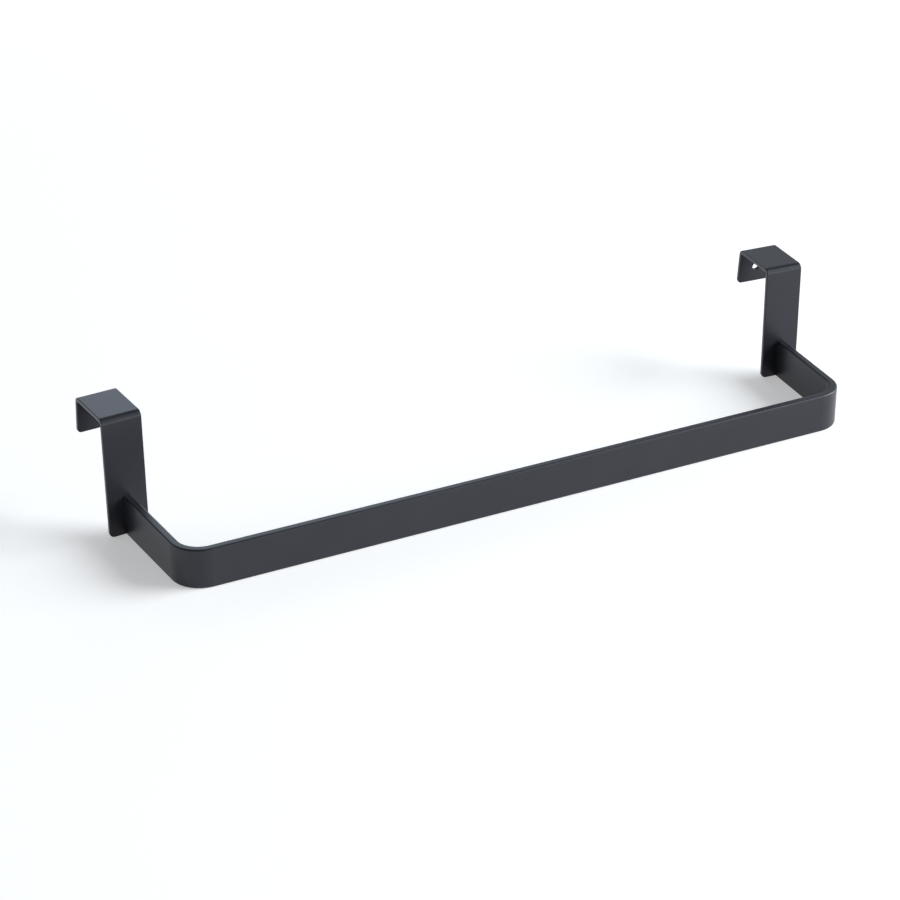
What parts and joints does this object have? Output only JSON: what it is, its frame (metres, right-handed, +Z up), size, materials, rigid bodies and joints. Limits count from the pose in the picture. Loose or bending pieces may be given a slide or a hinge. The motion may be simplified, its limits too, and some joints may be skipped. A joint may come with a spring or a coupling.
{
  "type": "over-cabinet towel bar",
  "caption": "Towel bar that hangs over a cabinet door: a flat bar on edge, bent into a wide U, with its arms welded to J-shaped strip hooks.",
  "frame": {"origin": "middle of the rail's underside, level with the lower ends of the hooks' front legs", "axes": "+X along the rail, to the right as seen from the room; +Y from the rail towards the cabinet door; +Z up when the part hangs on the door"},
  "size_m": [0.3852, 0.0962, 0.0615],
  "materials": {
    "powder_coat": "satin black powder coat"
  },
  "bodies": {
    "root": {"towel_bar": "powder_coat", "left_hook": "powder_coat", "right_hook": "powder_coat"}
  },
  "joints": []
}
